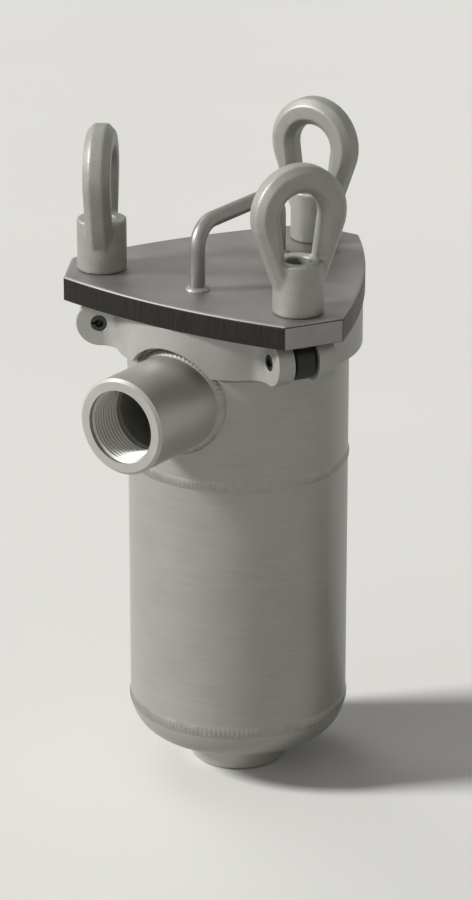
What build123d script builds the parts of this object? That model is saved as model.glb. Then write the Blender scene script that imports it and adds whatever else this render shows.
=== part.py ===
from build123d import *
from math import acos, atan2, degrees, hypot, sqrt
import os

os.makedirs("parts", exist_ok=True)

# Bag filter housing: an upright vessel with a side inlet under its mouth and an outlet at its foot,
# a strainer basket with a filter bag, and a three-cornered cover held by swing bolts and eye nuts.
# Millimetres, +Z up. The origin is the centre of the outlet coupling's lower face.
# The inlet points along -Y. The clevises stand at 90, 210 and 330 degrees from +X.

# ---------------------------------------------------------------- driving sizes: vessel
shell_od = 114.3          # 4 in pipe
shell_wall = 3.05
shell_length = 221.0      # mouth to the bottom head's tangent line
knuckle_share = 0.173     # bottom head's knuckle radius, as a share of its diameter
outlet_drop = 8.0         # outlet coupling below the bottom head
tapping_d = 38.1          # 1-1/4 in taper pipe thread
coupling_wall = 5.95      # round the tapping
waterway_step = 1.55      # tapping to the narrower waterway behind it, each side
coupling_edge = 1.5       # chamfer
inlet_thread = 24.0
outlet_thread = 20.0
inlet_reach = 45.0        # inlet coupling outside the shell
outlet_length = 26.0
arch_crown = 11.5         # head ring's metal over the inlet's arch
arch_gap = 1.5            # inlet weld to the arch
weld_leg = 3.0            # fillet welds round the couplings and under the head ring
girth_width = 7.0         # butt welds round the shell
girth_rise = 0.9

# ---------------------------------------------------------------- driving sizes: head ring and bolts
ring_wall = 6.85          # outside the shell
mouth_step = 0.85         # mouth's bore inside the shell's bore, each side
socket_drop = 8.0         # mouth to the upper shell's top edge, inside the head ring
groove_land = 2.05        # mouth's bore to the seal groove
groove_width = 3.8
groove_depth = 3.0
seal_gap = 0.1            # the squeezed seal stands this far below the groove's rim
bolt_stand = 6.0          # head ring's outside to the bolts' centres
bolt_d = 12.7             # 1/2-13 thread
bolt_gap = 0.25           # bolt to ear, each side
bolt_in_nut = 22.3
bolt_point = 1.2
ear_thickness = 9.4
ear_margin = 1.5          # ear round the eye
clevis_blend = 9.0        # ears run into the ring
pin_d = 8.0
pin_wall = 1.8
pin_slot = 1.2
pin_gap = 0.1             # radial, eye on pin
eye_wall = 6.5            # round the pin
eye_edge = 1.5
eye_gap = 0.4             # eye to ear, each side
pocket_gap = 1.0          # eye and bolt to the head ring

# ---------------------------------------------------------------- driving sizes: basket and bag
seat_drop = 84.0          # mouth to the basket seat, level with the upper butt weld
seat_height = 6.0
seat_gap = 0.8            # radial, screen in seat
rim_gap = 0.75            # radial, rim in mouth
rim_taper = 2.0           # each side
rim_height = 27.0
rim_band = 8.0            # straight part of the rim, at its top
rim_wall = 1.9            # at the foot
rim_edge = 0.8
lip_width = 6.0
lip_thickness = 3.0
shoulder = 3.0            # rim's foot outside the screen
ledge_width = 3.5         # bag ledge inside the screen's outside
ledge_thickness = 3.0
screen_sheet = 1.2
basket_length = 152.0
basket_corner = 12.0
basket_skirt = 4.0        # straight edge of the pressed bottom, above its corner
bag_ring_width = 3.0
bag_ring_height = 6.0
bag_ring_gap = 0.4        # radial, bag ring in rim
bag_gap = 0.6             # radial, bag in ledge
bag_felt = 2.0
bag_foot_gap = 4.0
lug_depth = 5.3
lug_width = 14.0
strap_width = 14.0
strap_thickness = 2.0
swing_gap = 0.3           # bail to lug, to rivet and to rivet head
bail_height = 46.0        # above the rim
bail_shoulder = 14.0      # rim's top to the foot of the bail's sloping part
bail_slope = 19.0         # how far each side leans in
bail_bend = 10.0
pivot_drop = 8.0          # rim's top to the bail's pivots
rivet_d = 5.0
rivet_head_d = 9.0
rivet_head = 2.0

# ---------------------------------------------------------------- driving sizes: cover and eye nuts
cover_thickness = 12.7
cover_edge = 1.0
corner_margin = 18.0      # bolt's centre to the cut corner
corner_width = 32.0
side_margin = 0.6         # cover past the head ring, at the middle of each bowed side
hole_gap = 0.8            # radial, bolt in cover
rod_d = 8.0
handle_span = 72.0
handle_height = 38.0
handle_bend = 13.0
handle_weld = 2.6
nut_height = 76.0
nut_width = 50.0
nut_thickness = 14.0
nut_gap = 0.3             # radial, nut on bolt
boss_wall = 6.4           # round the bolt
boss_height = 27.0
loop_bevel = 3.6
loop_top = 14.0           # metal above the opening
opening_width = 23.0
opening_foot = 17.0
waist_d = 27.0            # loop's outline where it leaves the boss
waist_height = 18.0

# ---------------------------------------------------------------- worked-out radii, from the shell inwards
shell_r = shell_od / 2
shell_bore_r = shell_r - shell_wall
mouth_r = shell_bore_r - mouth_step
rim_r = mouth_r - rim_gap
rim_foot_r = rim_r - rim_taper
rim_bore_r = rim_foot_r - rim_wall
screen_r = rim_foot_r - shoulder
screen_bore_r = screen_r - screen_sheet
ledge_r = screen_r - ledge_width
bag_ring_r = rim_bore_r - bag_ring_gap
bag_r = ledge_r - bag_gap
bail_r = rim_bore_r - lug_depth - swing_gap - strap_thickness / 2     # strap's centre at its feet

# ---------------------------------------------------------------- worked-out radii, from the shell outwards
ring_r = shell_r + ring_wall
groove_r = mouth_r + groove_land + groove_width / 2
seal_r = (groove_depth - seal_gap) / 2
pin_r = pin_d / 2
eye_r = pin_r + eye_wall
ear_r = eye_r + ear_margin
bolt_r = bolt_d / 2
bolt_circle_r = ring_r + bolt_stand
clevis_gap = bolt_d + 2 * bolt_gap
clevis_width = clevis_gap + 2 * ear_thickness
tapping_r = tapping_d / 2
coupling_r = tapping_r + coupling_wall
waterway_r = tapping_r - waterway_step
arch_r = coupling_r + weld_leg + arch_gap
boss_r = bolt_r + boss_wall

# ---------------------------------------------------------------- worked-out heights
head_depth = shell_r / 2                       # 2:1 head, drawn with a knuckle arc and a crown arc
tangent_z = outlet_drop + head_depth
mouth_z = tangent_z + shell_length
ring_height = 2 * ear_r                        # the ears are as deep as the ring
ring_foot_z = mouth_z - ring_height
pin_z = mouth_z - ear_r
inlet_z = mouth_z - arch_crown - arch_r
seat_z = mouth_z - seat_drop
rim_top_z = seat_z + rim_height
pivot_z = rim_top_z - pivot_drop
basket_foot_z = rim_top_z - basket_length
bottom_top_z = basket_foot_z + basket_corner + basket_skirt
bag_ring_z = seat_z + ledge_thickness
cover_top_z = mouth_z + cover_thickness
bolt_top_z = cover_top_z + bolt_in_nut

# bottom head: the knuckle's centre is on the tangent line and the crown's is on the axis above it
knuckle_r = knuckle_share * shell_od
crown_r = (1.25 * shell_r**2 - 2 * shell_r * knuckle_r) / (shell_r - 2 * knuckle_r)
crown_z = tangent_z + crown_r - head_depth
knuckle_turn = degrees(atan2(crown_z - tangent_z, shell_r - knuckle_r))

clevis_angles = (90, 210, 330)
inlet_plane = Plane(origin=(0, 0, inlet_z), x_dir=(1, 0, 0), z_dir=(0, -1, 0))


def clevis_plane(angle):
    """Upright plane through the vessel's axis and one clevis: X outwards, Y up from the mouth."""
    outward = Vector(1, 0, 0).rotate(Axis.Z, angle)
    return Plane(origin=(0, 0, mouth_z), x_dir=outward, z_dir=outward.cross(Vector(0, 0, 1)))


def bolt_plane(angle, height):
    """Level plane on one bolt's axis: X outwards."""
    outward = Vector(1, 0, 0).rotate(Axis.Z, angle)
    return Plane(origin=outward * bolt_circle_r + Vector(0, 0, height), x_dir=outward, z_dir=(0, 0, 1))


def ring_section(inner_r, outer_r, low_z, high_z, mode=Mode.ADD):
    """Rectangle in the XZ plane, for turning about the vessel's axis."""
    with Locations(((inner_r + outer_r) / 2, (low_z + high_z) / 2)):
        Rectangle(outer_r - inner_r, high_z - low_z, mode=mode)


def cup_section(outer_r, foot_z, top_z, corner, wall):
    """Wall and floor of a round cup with a rounded corner, as a face for turning."""
    floor_r = outer_r - corner
    with BuildLine() as outline:
        Line((0, foot_z), (floor_r, foot_z))
        CenterArc((floor_r, foot_z + corner), corner, -90, 90)
        Polyline(
            (outer_r, foot_z + corner),
            (outer_r, top_z),
            (outer_r - wall, top_z),
            (outer_r - wall, foot_z + corner),
        )
        CenterArc((floor_r, foot_z + corner), corner - wall, 0, -90)
        Polyline((floor_r, foot_z + wall), (0, foot_z + wall), (0, foot_z))
    make_face(outline.edges())


# ---------------------------------------------------------------- head ring: one casting with its clevises
with BuildPart() as head_ring:
    # a round ring with three blocks that blend into it
    with BuildSketch(Plane.XY.offset(ring_foot_z)) as outline:
        Circle(ring_r)
        for angle in clevis_angles:
            with Locations(Rotation(0, 0, angle)):
                with Locations(((bolt_circle_r + ear_r) / 2, 0)):
                    Rectangle(bolt_circle_r + ear_r, clevis_width)
        corners = outline.vertices().filter_by(lambda v: abs(hypot(v.X, v.Y) - ring_r) < 0.01)
        fillet(corners, clevis_blend)
    extrude(amount=ring_height)
    # round ends of the ears
    for angle in clevis_angles:
        with BuildSketch(clevis_plane(angle)):
            with Locations((bolt_circle_r + ring_height, -ear_r)):
                Rectangle(2 * ring_height, 2 * ring_height)
            with Locations((bolt_circle_r, -ear_r)):
                Circle(ear_r, mode=Mode.SUBTRACT)
        extrude(amount=clevis_width, both=True, mode=Mode.SUBTRACT)
    # mouth, socket for the shell and seal groove
    with BuildSketch(Plane.XZ):
        ring_section(0, mouth_r, ring_foot_z, mouth_z)
        ring_section(0, shell_r, ring_foot_z, mouth_z - socket_drop)
        ring_section(groove_r - groove_width / 2, groove_r + groove_width / 2, mouth_z - groove_depth, mouth_z)
    revolve(axis=Axis.Z, mode=Mode.SUBTRACT)
    # slots for the swing bolts, pockets for their eyes and holes for the pins
    for angle in clevis_angles:
        with BuildSketch(clevis_plane(angle)):
            with Locations((bolt_circle_r - bolt_r - pocket_gap + ring_height, -ear_r)):
                Rectangle(2 * ring_height, 2 * ring_height)
            with Locations((bolt_circle_r, -ear_r)):
                Circle(eye_r + pocket_gap)
        extrude(amount=clevis_gap / 2, both=True, mode=Mode.SUBTRACT)
        with BuildSketch(clevis_plane(angle)):
            with Locations((bolt_circle_r, -ear_r)):
                Circle(pin_r)
        extrude(amount=clevis_width, both=True, mode=Mode.SUBTRACT)
    # arch over the inlet
    with BuildSketch(inlet_plane):
        Circle(arch_r)
    extrude(amount=2 * ring_r, mode=Mode.SUBTRACT)

# ---------------------------------------------------------------- shell
with BuildPart() as upper_shell:
    with BuildSketch(Plane.XY.offset(seat_z)):
        Circle(shell_r)
        Circle(shell_bore_r, mode=Mode.SUBTRACT)
    extrude(amount=seat_drop - socket_drop)
    with BuildSketch(inlet_plane):
        Circle(coupling_r)
    extrude(amount=shell_od, mode=Mode.SUBTRACT)

with BuildPart() as lower_shell:
    with BuildSketch(Plane.XY.offset(tangent_z)):
        Circle(shell_r)
        Circle(shell_bore_r, mode=Mode.SUBTRACT)
    extrude(amount=seat_z - tangent_z)

with BuildPart() as bottom_head:
    with BuildSketch(Plane.XZ):
        with BuildLine():
            outer_turn = degrees(acos(coupling_r / crown_r))
            inner_turn = degrees(acos(coupling_r / (crown_r - shell_wall)))
            knuckle_centre = (shell_r - knuckle_r, tangent_z)
            CenterArc(knuckle_centre, knuckle_r, 0, -knuckle_turn)
            outer_crown = CenterArc((0, crown_z), crown_r, -knuckle_turn, knuckle_turn - outer_turn)
            inner_crown = CenterArc((0, crown_z), crown_r - shell_wall, -inner_turn, inner_turn - knuckle_turn)
            Line(outer_crown @ 1, inner_crown @ 0)
            CenterArc(knuckle_centre, knuckle_r - shell_wall, -knuckle_turn, knuckle_turn)
            Line((shell_bore_r, tangent_z), (shell_r, tangent_z))
        make_face()
    revolve(axis=Axis.Z)

with BuildPart() as basket_seat:
    with BuildSketch(Plane.XZ):
        ring_section(screen_r + seat_gap, shell_bore_r, seat_z - seat_height, seat_z)
    revolve(axis=Axis.Z)

# ---------------------------------------------------------------- couplings
with BuildPart() as inlet_coupling:
    with BuildSketch(inlet_plane):
        Circle(coupling_r)
    extrude(amount=shell_r + inlet_reach)
    chamfer(inlet_coupling.edges().sort_by(Axis.Y)[0], coupling_edge)
    with BuildSketch(Plane.XY):
        Circle(shell_bore_r)
    extrude(amount=mouth_z, mode=Mode.SUBTRACT)
    with BuildSketch(inlet_plane):
        Circle(waterway_r)
    extrude(amount=shell_r + inlet_reach, mode=Mode.SUBTRACT)
    with BuildSketch(inlet_plane.offset(shell_r + inlet_reach)):
        Circle(tapping_r)
    extrude(amount=-inlet_thread, mode=Mode.SUBTRACT)

with BuildPart() as outlet_coupling:
    with BuildSketch(Plane.XY):
        Circle(coupling_r)
    extrude(amount=outlet_length)
    chamfer(outlet_coupling.edges().sort_by(Axis.Z)[0], coupling_edge)
    with BuildSketch(Plane.XY):
        Circle(waterway_r)
    extrude(amount=outlet_length, mode=Mode.SUBTRACT)
    with BuildSketch(Plane.XY):
        Circle(tapping_r)
    extrude(amount=outlet_thread, mode=Mode.SUBTRACT)

# ---------------------------------------------------------------- welds
with BuildPart() as girth_welds:
    for weld_z in (seat_z, tangent_z):
        with BuildSketch(Plane.XZ):
            with BuildLine():
                ThreePointArc(
                    (shell_r, weld_z - girth_width / 2),
                    (shell_r + girth_rise, weld_z),
                    (shell_r, weld_z + girth_width / 2),
                )
                Line((shell_r, weld_z + girth_width / 2), (shell_r, weld_z - girth_width / 2))
            make_face()
        revolve(axis=Axis.Z)

with BuildPart() as ring_weld:
    with BuildSketch(Plane.XZ):
        with BuildLine():
            Polyline(
                (shell_r, ring_foot_z),
                (shell_r + weld_leg, ring_foot_z),
                (shell_r, ring_foot_z - weld_leg),
                close=True,
            )
        make_face()
    revolve(axis=Axis.Z)
    with BuildSketch(inlet_plane):
        Circle(arch_r)
    extrude(amount=2 * ring_r, mode=Mode.SUBTRACT)

with BuildPart() as inlet_weld:
    with BuildSketch(inlet_plane):
        Circle(coupling_r + weld_leg)
        Circle(coupling_r, mode=Mode.SUBTRACT)
    extrude(amount=shell_od)
    with BuildSketch(Plane.XY):
        Circle(shell_r + weld_leg)
    extrude(amount=mouth_z, mode=Mode.INTERSECT)
    with BuildSketch(Plane.XY):
        Circle(shell_r)
    extrude(amount=mouth_z, mode=Mode.SUBTRACT)

with BuildPart() as outlet_weld:
    toe_z = crown_z - sqrt(crown_r**2 - (coupling_r + weld_leg) ** 2)
    with BuildSketch(Plane.XZ):
        with BuildLine():
            Polyline(
                (coupling_r, toe_z - weld_leg),
                (coupling_r + weld_leg, toe_z),
                (coupling_r + weld_leg, toe_z + weld_leg),
                (coupling_r, toe_z + weld_leg),
                close=True,
            )
        make_face()
        with Locations((0, crown_z)):
            Circle(crown_r, mode=Mode.SUBTRACT)
    revolve(axis=Axis.Z)

# ---------------------------------------------------------------- seal, swing bolts and their pins
with BuildPart() as cover_seal:
    with BuildSketch(Plane.XZ):
        with Locations((groove_r, mouth_z - groove_depth + seal_r)):
            Circle(seal_r)
    revolve(axis=Axis.Z)

swing_bolts = []
for angle in clevis_angles:
    with BuildPart() as swing_bolt:
        with BuildSketch(clevis_plane(angle)):
            with Locations((bolt_circle_r, -ear_r)):
                Circle(eye_r)
        extrude(amount=clevis_gap / 2 - eye_gap, both=True)
        chamfer(swing_bolt.edges().filter_by(GeomType.CIRCLE), eye_edge)
        with BuildSketch(bolt_plane(angle, pin_z)):
            Circle(bolt_r)
        extrude(amount=bolt_top_z - pin_z)
        chamfer(swing_bolt.edges().sort_by(Axis.Z)[-1], bolt_point)
        with BuildSketch(clevis_plane(angle)):
            with Locations((bolt_circle_r, -ear_r)):
                Circle(pin_r + pin_gap)
        extrude(amount=clevis_gap, both=True, mode=Mode.SUBTRACT)
    swing_bolts.append(swing_bolt)

with BuildPart() as clevis_pins:
    for angle in clevis_angles:
        with BuildSketch(clevis_plane(angle)):
            with Locations((bolt_circle_r, -ear_r)):
                Circle(pin_r)
                Circle(pin_r - pin_wall, mode=Mode.SUBTRACT)
                Rectangle(pin_d, pin_slot, align=(Align.MIN, Align.CENTER), mode=Mode.SUBTRACT)
        extrude(amount=clevis_width / 2, both=True)

# ---------------------------------------------------------------- basket
with BuildPart() as basket_rim:
    with BuildSketch(Plane.XZ):
        with BuildLine():
            Polyline(
                (rim_foot_r, seat_z),
                (rim_r, rim_top_z - rim_band),
                (rim_r, rim_top_z),
                (rim_r - lip_width, rim_top_z),
                (rim_r - lip_width, rim_top_z - lip_thickness),
                (rim_bore_r, rim_top_z - lip_thickness),
                (rim_bore_r, bag_ring_z),
                (ledge_r, bag_ring_z),
                (ledge_r, seat_z),
                close=True,
            )
        make_face()
    revolve(axis=Axis.Z)
    chamfer(basket_rim.edges().group_by(Axis.Z)[-1], rim_edge)

with BuildPart() as basket_screen:
    with BuildSketch(Plane.XY.offset(bottom_top_z)):
        Circle(screen_r)
        Circle(screen_bore_r, mode=Mode.SUBTRACT)
    extrude(amount=seat_z - bottom_top_z)

with BuildPart() as basket_bottom:
    with BuildSketch(Plane.XZ):
        cup_section(screen_r, basket_foot_z, bottom_top_z, basket_corner, screen_sheet)
    revolve(axis=Axis.Z)

with BuildPart() as bail_lugs:
    with BuildSketch(Plane.XY.offset(pivot_z - lug_width / 2)):
        Circle(rim_bore_r)
        Rectangle(2 * rim_bore_r, lug_width, mode=Mode.INTERSECT)
        Rectangle(2 * (rim_bore_r - lug_depth), lug_width, mode=Mode.SUBTRACT)
    extrude(amount=lug_width / 2 + pivot_drop - lip_thickness)
    with BuildSketch(Plane.YZ.offset(-rim_bore_r)):
        with Locations((0, pivot_z)):
            Circle(rivet_d / 2)
    extrude(amount=2 * rim_bore_r, mode=Mode.SUBTRACT)

with BuildPart() as bail_rivets:
    head_start = bail_r - strap_thickness / 2 - swing_gap - rivet_head
    shank_end = sqrt(rim_bore_r**2 - (rivet_d / 2) ** 2)
    for side in (-1, 1):
        rivet_plane = Plane(origin=(side * head_start, 0, pivot_z), x_dir=(0, 1, 0), z_dir=(side, 0, 0))
        with BuildSketch(rivet_plane):
            Circle(rivet_head_d / 2)
        extrude(amount=rivet_head)
        with BuildSketch(rivet_plane):
            Circle(rivet_d / 2)
        extrude(amount=shank_end - head_start)

with BuildPart() as bail:
    with BuildSketch(Plane.XZ):
        foot_z = pivot_z - strap_width / 2
        knee_z = rim_top_z + bail_shoulder
        top_z = rim_top_z + bail_height - strap_thickness / 2
        with BuildLine():
            FilletPolyline(
                (-bail_r, foot_z),
                (-bail_r, knee_z),
                (-bail_r + bail_slope, top_z),
                (bail_r - bail_slope, top_z),
                (bail_r, knee_z),
                (bail_r, foot_z),
                radius=bail_bend,
            )
        trace(line_width=strap_thickness)
    extrude(amount=strap_width / 2, both=True)
    fillet(bail.edges().filter_by(Axis.X).group_by(Axis.Z)[0], 0.98 * strap_width / 2)
    with BuildSketch(Plane.YZ.offset(-rim_bore_r)):
        with Locations((0, pivot_z)):
            Circle(rivet_d / 2 + swing_gap)
    extrude(amount=2 * rim_bore_r, mode=Mode.SUBTRACT)

# ---------------------------------------------------------------- filter bag
with BuildPart() as bag_ring:
    with BuildSketch(Plane.XZ):
        ring_section(bag_ring_r - bag_ring_width, bag_ring_r, bag_ring_z, bag_ring_z + bag_ring_height)
    revolve(axis=Axis.Z)

with BuildPart() as filter_bag:
    bag_foot_z = basket_foot_z + screen_sheet + bag_foot_gap
    bag_top_z = bag_ring_z + bag_ring_height
    with BuildSketch(Plane.XZ):
        cup_section(bag_r, bag_foot_z, bag_top_z, basket_corner, bag_felt)
        ring_section(bag_r - bag_felt, bag_ring_r - bag_ring_width, bag_ring_z, bag_top_z)
    revolve(axis=Axis.Z)

# ---------------------------------------------------------------- cover
corner_reach = bolt_circle_r + corner_margin
with BuildPart() as cover_plate:
    with BuildSketch(Plane.XY.offset(mouth_z)):
        with BuildLine():
            for angle in clevis_angles:
                corner_1 = Vector(corner_reach, -corner_width / 2).rotate(Axis.Z, angle)
                corner_2 = Vector(corner_reach, corner_width / 2).rotate(Axis.Z, angle)
                middle = Vector(ring_r + side_margin, 0).rotate(Axis.Z, angle + 60)
                next_corner = Vector(corner_reach, -corner_width / 2).rotate(Axis.Z, angle + 120)
                Line(corner_1, corner_2)
                ThreePointArc(corner_2, middle, next_corner)
        make_face()
        with PolarLocations(bolt_circle_r, 3, start_angle=clevis_angles[0]):
            Circle(bolt_r + hole_gap, mode=Mode.SUBTRACT)
    extrude(amount=cover_thickness)
    chamfer(cover_plate.faces().sort_by(Axis.Z)[-1].outer_wire().edges(), cover_edge)

with BuildPart() as cover_handle:
    rod_z = cover_top_z + handle_height - rod_d / 2
    with BuildLine(Plane.YZ):
        FilletPolyline(
            (-handle_span / 2, cover_top_z),
            (-handle_span / 2, rod_z),
            (handle_span / 2, rod_z),
            (handle_span / 2, cover_top_z),
            radius=handle_bend,
        )
    with BuildSketch(Plane(origin=(0, -handle_span / 2, cover_top_z), z_dir=(0, 0, 1))):
        Circle(rod_d / 2)
    sweep()

with BuildPart() as handle_welds:
    with BuildSketch(Plane.XZ.offset(handle_span / 2)):
        with BuildLine():
            Polyline(
                (rod_d / 2, cover_top_z),
                (rod_d / 2 + handle_weld, cover_top_z),
                (rod_d / 2, cover_top_z + handle_weld),
                close=True,
            )
        make_face()
    revolve(axis=Axis((0, -handle_span / 2, 0), (0, 0, 1)))
    mirror(about=Plane.XZ)

# ---------------------------------------------------------------- eye nuts
eye_nuts = []
loop_z = nut_height - nut_width / 2                    # loop's round top, above the nut's seat
opening_z = nut_height - loop_top - opening_width / 2  # opening's round top
for angle in clevis_angles:
    seat_plane = bolt_plane(angle, cover_top_z)
    loop_plane = Plane(origin=seat_plane.origin, x_dir=seat_plane.y_dir, z_dir=seat_plane.x_dir)
    with BuildSketch() as opening:
        with Locations((0, opening_z)):
            Circle(opening_width / 2)
        with Locations((0, boss_height)):
            Rectangle(opening_foot, opening_foot / 10, align=(Align.CENTER, Align.MIN))
        make_hull()
    with BuildPart() as eye_nut:
        # pear-shaped loop, bevelled inside and out
        with BuildSketch(loop_plane):
            with Locations((0, loop_z)):
                Circle(nut_width / 2)
            with Locations((0, waist_height)):
                Circle(waist_d / 2)
            make_hull()
            add(opening.sketch_local, mode=Mode.SUBTRACT)
        extrude(amount=nut_thickness / 2, both=True)
        broad_faces = eye_nut.faces().sort_by(SortBy.AREA).filter_by(GeomType.PLANE)[-2:]
        chamfer(broad_faces.edges(), loop_bevel)
        # boss with the bore for the bolt
        with BuildSketch(seat_plane):
            Circle(boss_r)
        extrude(amount=boss_height)
        with BuildSketch(seat_plane):
            Circle(bolt_r + nut_gap)
        extrude(amount=boss_height + nut_thickness, mode=Mode.SUBTRACT)
    eye_nuts.append(eye_nut)

# ---------------------------------------------------------------- labels and files
head_ring.part.label = "head_ring"
export_step(head_ring.part, "parts/head_ring.step")
upper_shell.part.label = "upper_shell"
export_step(upper_shell.part, "parts/upper_shell.step")
lower_shell.part.label = "lower_shell"
export_step(lower_shell.part, "parts/lower_shell.step")
bottom_head.part.label = "bottom_head"
export_step(bottom_head.part, "parts/bottom_head.step")
basket_seat.part.label = "basket_seat"
export_step(basket_seat.part, "parts/basket_seat.step")
inlet_coupling.part.label = "inlet_coupling"
export_step(inlet_coupling.part, "parts/inlet_coupling.step")
outlet_coupling.part.label = "outlet_coupling"
export_step(outlet_coupling.part, "parts/outlet_coupling.step")
girth_welds.part.label = "girth_welds"
export_step(girth_welds.part, "parts/girth_welds.step")
ring_weld.part.label = "ring_weld"
export_step(ring_weld.part, "parts/ring_weld.step")
inlet_weld.part.label = "inlet_weld"
export_step(inlet_weld.part, "parts/inlet_weld.step")
outlet_weld.part.label = "outlet_weld"
export_step(outlet_weld.part, "parts/outlet_weld.step")
cover_seal.part.label = "cover_seal"
export_step(cover_seal.part, "parts/cover_seal.step")
clevis_pins.part.label = "clevis_pins"
export_step(clevis_pins.part, "parts/clevis_pins.step")
basket_rim.part.label = "basket_rim"
export_step(basket_rim.part, "parts/basket_rim.step")
basket_screen.part.label = "basket_screen"
export_step(basket_screen.part, "parts/basket_screen.step")
basket_bottom.part.label = "basket_bottom"
export_step(basket_bottom.part, "parts/basket_bottom.step")
bail_lugs.part.label = "bail_lugs"
export_step(bail_lugs.part, "parts/bail_lugs.step")
bail_rivets.part.label = "bail_rivets"
export_step(bail_rivets.part, "parts/bail_rivets.step")
bail.part.label = "bail"
export_step(bail.part, "parts/bail.step")
bag_ring.part.label = "bag_ring"
export_step(bag_ring.part, "parts/bag_ring.step")
filter_bag.part.label = "filter_bag"
export_step(filter_bag.part, "parts/filter_bag.step")
cover_plate.part.label = "cover_plate"
export_step(cover_plate.part, "parts/cover_plate.step")
cover_handle.part.label = "cover_handle"
export_step(cover_handle.part, "parts/cover_handle.step")
handle_welds.part.label = "handle_welds"
export_step(handle_welds.part, "parts/handle_welds.step")
for number, swing_bolt in enumerate(swing_bolts, start=1):
    swing_bolt.part.label = f"swing_bolt_{number}"
    export_step(swing_bolt.part, f"parts/swing_bolt_{number}.step")
for number, eye_nut in enumerate(eye_nuts, start=1):
    eye_nut.part.label = f"eye_nut_{number}"
    export_step(eye_nut.part, f"parts/eye_nut_{number}.step")
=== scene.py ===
import math

import bpy
from mathutils import Matrix, Vector, noise


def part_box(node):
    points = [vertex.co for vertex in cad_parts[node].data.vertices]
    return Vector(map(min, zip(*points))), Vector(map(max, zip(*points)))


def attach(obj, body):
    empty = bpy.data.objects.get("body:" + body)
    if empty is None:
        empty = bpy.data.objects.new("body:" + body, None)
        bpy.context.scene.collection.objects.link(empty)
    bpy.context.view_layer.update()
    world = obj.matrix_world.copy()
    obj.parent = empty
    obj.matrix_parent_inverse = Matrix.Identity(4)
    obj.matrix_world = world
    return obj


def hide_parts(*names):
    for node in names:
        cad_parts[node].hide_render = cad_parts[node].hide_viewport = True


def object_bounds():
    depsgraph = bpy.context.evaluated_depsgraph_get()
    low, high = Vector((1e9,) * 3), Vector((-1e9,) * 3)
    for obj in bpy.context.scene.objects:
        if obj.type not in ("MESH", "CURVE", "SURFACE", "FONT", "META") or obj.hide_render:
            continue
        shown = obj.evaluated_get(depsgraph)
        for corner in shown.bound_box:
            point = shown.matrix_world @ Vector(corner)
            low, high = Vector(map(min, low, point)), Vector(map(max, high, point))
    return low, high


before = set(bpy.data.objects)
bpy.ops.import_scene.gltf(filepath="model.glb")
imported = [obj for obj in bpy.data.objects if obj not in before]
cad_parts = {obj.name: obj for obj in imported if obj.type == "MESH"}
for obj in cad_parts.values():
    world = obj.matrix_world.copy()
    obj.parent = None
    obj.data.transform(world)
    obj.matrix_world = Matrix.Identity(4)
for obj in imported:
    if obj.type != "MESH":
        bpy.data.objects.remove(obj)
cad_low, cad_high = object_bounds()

bl_info = {
    "name": "Bag Filter Housing",
    "version": (1, 0, 0),
    "blender": (4, 5, 0),
    "location": "View3D > Sidebar > Filter",
    "description": "Dresses a bag filter housing: castings, pipe, perforated basket, felt bag and threads",
    "category": "Object",
}

MM = 0.001
UP = Vector((0, 0, 1))
HOUSING, BASKET, COVER = "housing", "basket", "cover"
NUMBERS = (1, 2, 3)


# ---------------------------------------------------------------- places, from the frame
def centre(node):
    """Middle of a CAD node's box."""
    low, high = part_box(node)
    return (low + high) / 2


def half_width(node):
    """Half of a CAD node's width along X: the radius of a round one."""
    low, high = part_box(node)
    return (high.x - low.x) / 2


def ring(count):
    """Level unit vectors, evenly turned about Z from +X."""
    for i in range(count):
        turn = math.tau * i / count
        yield Vector((math.cos(turn), math.sin(turn), 0))


def clevis_turn(number):
    """Angle from +X to a clevis, about the vessel's axis."""
    place = centre(f"swing_bolt_{number}")
    return math.atan2(place.y, place.x)


# ---------------------------------------------------------------- settings
class HousingSettings(bpy.types.PropertyGroup):
    """Sizes and colours of the housing, its couplings and its bolts."""

    casting_colour: bpy.props.StringProperty(
        name="Casting", description="Blasted stainless casting, sRGB hex", default="#A8A7A2"
    )
    pipe_colour: bpy.props.StringProperty(
        name="Pipe", description="Satin stainless pipe, sRGB hex", default="#A2A19C"
    )
    # the couplings' tone: a turned forging's, and lighter than the pipe in part as painted light
    coupling_colour_and_light: bpy.props.StringProperty(
        name="Coupling", description="Turned stainless forging, sRGB hex", default="#B4B3AC"
    )
    bolt_colour: bpy.props.StringProperty(
        name="Bolt", description="Black-oxide steel, sRGB hex", default="#262626"
    )
    pin_colour: bpy.props.StringProperty(
        name="Pin", description="Black spring steel, sRGB hex", default="#3C3C3C"
    )
    weld_colour: bpy.props.StringProperty(
        name="Weld", description="Cleaned weld metal, sRGB hex", default="#97968F"
    )
    seal_colour: bpy.props.StringProperty(
        name="Seal", description="Black nitrile rubber, sRGB hex", default="#1E1E1E"
    )
    edge: bpy.props.FloatProperty(
        name="Edge", description="Rounding of the cast and cut edges", default=0.7 * MM, unit="LENGTH"
    )
    bolt_pitch: bpy.props.FloatProperty(
        name="Bolt pitch", description="1/2-13 thread", default=25.4 / 13 * MM, unit="LENGTH"
    )
    pipe_pitch: bpy.props.FloatProperty(
        name="Pipe thread pitch", description="1-1/4 in taper pipe thread, 11.5 to the inch",
        default=25.4 / 11.5 * MM, unit="LENGTH",
    )
    thread_depth: bpy.props.FloatProperty(
        name="Thread depth", description="Crest to root", default=1.1 * MM, unit="LENGTH"
    )
    ripple_pitch: bpy.props.FloatProperty(
        name="Weld ripple", description="Spacing of the ripples along a weld", default=2.4 * MM, unit="LENGTH"
    )


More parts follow.
